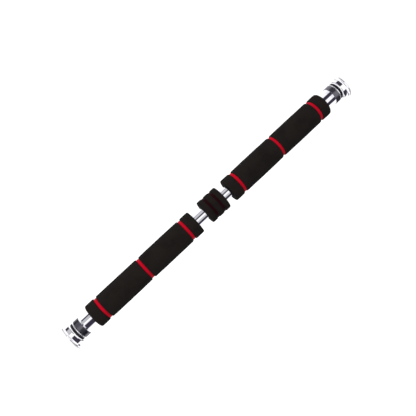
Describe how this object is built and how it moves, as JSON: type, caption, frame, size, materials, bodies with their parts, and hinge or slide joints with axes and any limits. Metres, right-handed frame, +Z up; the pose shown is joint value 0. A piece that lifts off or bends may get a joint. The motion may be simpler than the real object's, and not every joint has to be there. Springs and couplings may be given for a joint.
{
  "type": "doorway pull up bar",
  "caption": "Doorway pull up bar: chromed tube with ribbed foam grips and banded rings, and flared rubber-padded feet that screw out of its ends.",
  "frame": {"origin": "on the bar's axis, midway between the two foot pads with both feet screwed home", "axes": "+X along the bar towards the right foot, +Z up, +Y away from a person facing the bar"},
  "size_m": [0.751, 0.0552, 0.0552],
  "materials": {
    "bright_chrome": "polished",
    "dark_chrome": "polished",
    "foam": "matte",
    "red_band": "satin",
    "dark_red_band": "satin",
    "black_plastic": "satin",
    "pad_rubber": "matte",
    "thread_steel": "satin",
    "plain_steel": "satin"
  },
  "bodies": {
    "bar": {"main_tube": "bright_chrome", "left_grip_foam_1": "foam", "left_grip_foam_2": "foam", "left_grip_foam_3": "foam", "left_grip_foam_4": "foam", "left_grip_band_1": "red_band", "left_grip_band_2": "red_band", "left_grip_band_3": "red_band", "left_insert": "plain_steel", "left_insert_pins": "plain_steel", "left_end_collar": "dark_chrome", "right_grip_foam_1": "foam", "right_grip_foam_2": "foam", "right_grip_foam_3": "foam", "right_grip_foam_4": "foam", "right_grip_band_1": "red_band", "right_grip_band_2": "red_band", "right_grip_band_3": "red_band", "right_insert": "plain_steel", "right_insert_pins": "plain_steel", "right_end_collar": "dark_chrome", "centre_grip_foam_1": "foam", "centre_grip_foam_2": "foam", "centre_grip_foam_3": "foam", "centre_grip_band_1": "dark_red_band", "centre_grip_band_2": "dark_red_band"},
    "left_neck_ring": {"left_neck_ring": "black_plastic"},
    "left_foot": {"left_spindle": "thread_steel", "left_stop_ring": "plain_steel", "left_foot_cup": "bright_chrome", "left_foot_washer": "plain_steel", "left_foot_screw": "plain_steel", "left_foot_pad": "pad_rubber"},
    "right_neck_ring": {"right_neck_ring": "black_plastic"},
    "right_foot": {"right_spindle": "thread_steel", "right_stop_ring": "plain_steel", "right_foot_cup": "bright_chrome", "right_foot_washer": "plain_steel", "right_foot_screw": "plain_steel", "right_foot_pad": "pad_rubber"}
  },
  "joints": [
    {"name": "left_foot_extend", "type": "slide", "parent": "bar", "child": "left_neck_ring", "axis": [-1, 0, 0], "range_m": [0, 0.09]},
    {"name": "left_foot_turn", "type": "hinge", "parent": "left_neck_ring", "child": "left_foot", "pos_m": [-0.3522, 0, 0], "axis": [-1, 0, 0], "range_deg": [0, 8100]},
    {"name": "right_foot_extend", "type": "slide", "parent": "bar", "child": "right_neck_ring", "axis": [1, 0, 0], "range_m": [0, 0.09]},
    {"name": "right_foot_turn", "type": "hinge", "parent": "right_neck_ring", "child": "right_foot", "pos_m": [0.3522, 0, 0], "axis": [-1, 0, 0], "range_deg": [0, 8100]}
  ],
  "couplings": [
    {"joint": "left_foot_extend", "follows": "left_foot_turn", "m_per_rad": 0.0006366},
    {"joint": "right_foot_extend", "follows": "right_foot_turn", "m_per_rad": 0.0006366}
  ]
}
